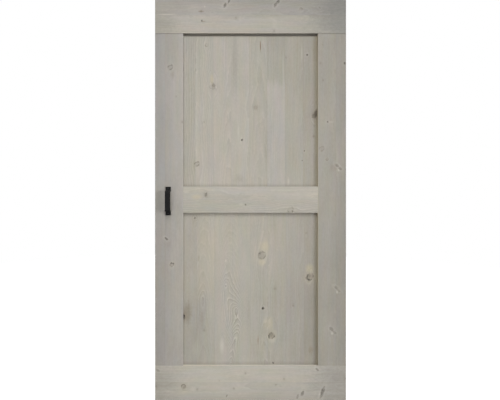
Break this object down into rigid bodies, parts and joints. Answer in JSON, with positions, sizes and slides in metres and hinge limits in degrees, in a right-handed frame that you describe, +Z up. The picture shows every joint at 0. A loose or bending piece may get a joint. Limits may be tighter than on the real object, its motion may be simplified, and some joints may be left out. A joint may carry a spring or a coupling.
{
  "type": "sliding door leaf",
  "caption": "Barn-style sliding door leaf in grey-stained softwood: a grooved frame with a middle rail, boarded panels and a bent strap pull; it hangs from its top edge over a floor guide.",
  "frame": {"origin": "middle of the leaf's top edge, halfway through its thickness", "axes": "+Z up, +X to the right seen from the front, the front with the pull faces -Y"},
  "size_m": [1, 0.082, 2.1],
  "materials": {
    "frame_wood": "grey-stained spruce, matt",
    "panel_wood": "grey-stained spruce, matt",
    "black_steel": "satin black powder coat"
  },
  "bodies": {
    "root": {"bottom_rail_lower_stave": "frame_wood", "bottom_rail_upper_stave": "frame_wood", "left_stile_inner_stave": "frame_wood", "left_stile_outer_stave": "frame_wood", "lower_panel_board_1": "panel_wood", "lower_panel_board_2": "panel_wood", "lower_panel_board_3": "panel_wood", "lower_panel_board_4": "panel_wood", "lower_panel_board_5": "panel_wood", "lower_panel_board_6": "panel_wood", "lower_panel_board_7": "panel_wood", "lower_panel_board_8": "panel_wood", "middle_rail_lower_stave": "frame_wood", "middle_rail_upper_stave": "frame_wood", "pull_handle": "black_steel", "right_stile_inner_stave": "frame_wood", "right_stile_outer_stave": "frame_wood", "top_rail_lower_stave": "frame_wood", "top_rail_upper_stave": "frame_wood", "upper_panel_board_1": "panel_wood", "upper_panel_board_2": "panel_wood", "upper_panel_board_3": "panel_wood", "upper_panel_board_4": "panel_wood", "upper_panel_board_5": "panel_wood", "upper_panel_board_6": "panel_wood", "upper_panel_board_7": "panel_wood", "upper_panel_board_8": "panel_wood"}
  },
  "joints": []
}
